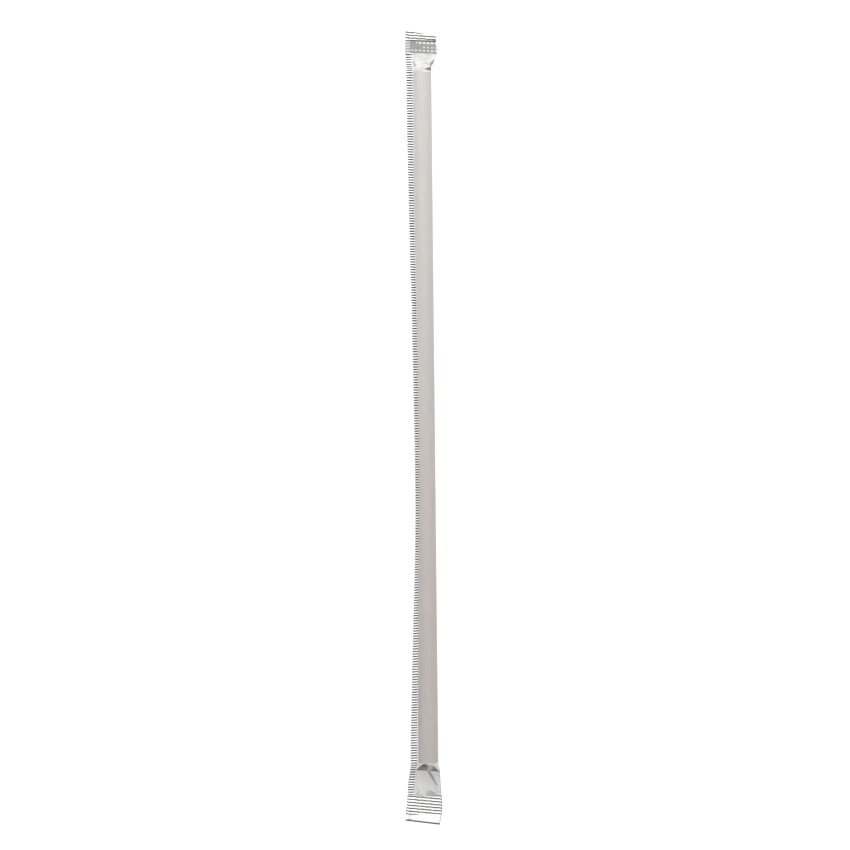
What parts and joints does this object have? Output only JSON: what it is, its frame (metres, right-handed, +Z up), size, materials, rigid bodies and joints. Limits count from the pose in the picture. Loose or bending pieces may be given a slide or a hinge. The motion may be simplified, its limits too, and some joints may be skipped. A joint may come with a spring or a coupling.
{
  "type": "wrapped drinking straw",
  "caption": "Plain straight drinking straw sealed in a clear film sleeve with a crimped fin along one side and a crimped tab at each end.",
  "frame": {"origin": "centre of the footprint, on the surface that the wrapper rests on", "axes": "+Y along the straw towards the bent head tab, +Z up, the crimped fin on the -X side"},
  "size_m": [0.0128, 0.2414, 0.0065],
  "materials": {
    "straw_plastic": "pale grey-white plastic, faintly grained, slightly glossy",
    "clear_film": "thin clear glossy film, greyer where it is crimped and creased"
  },
  "bodies": {
    "root": {"straw": "straw_plastic", "wrapper": "clear_film"}
  },
  "joints": []
}
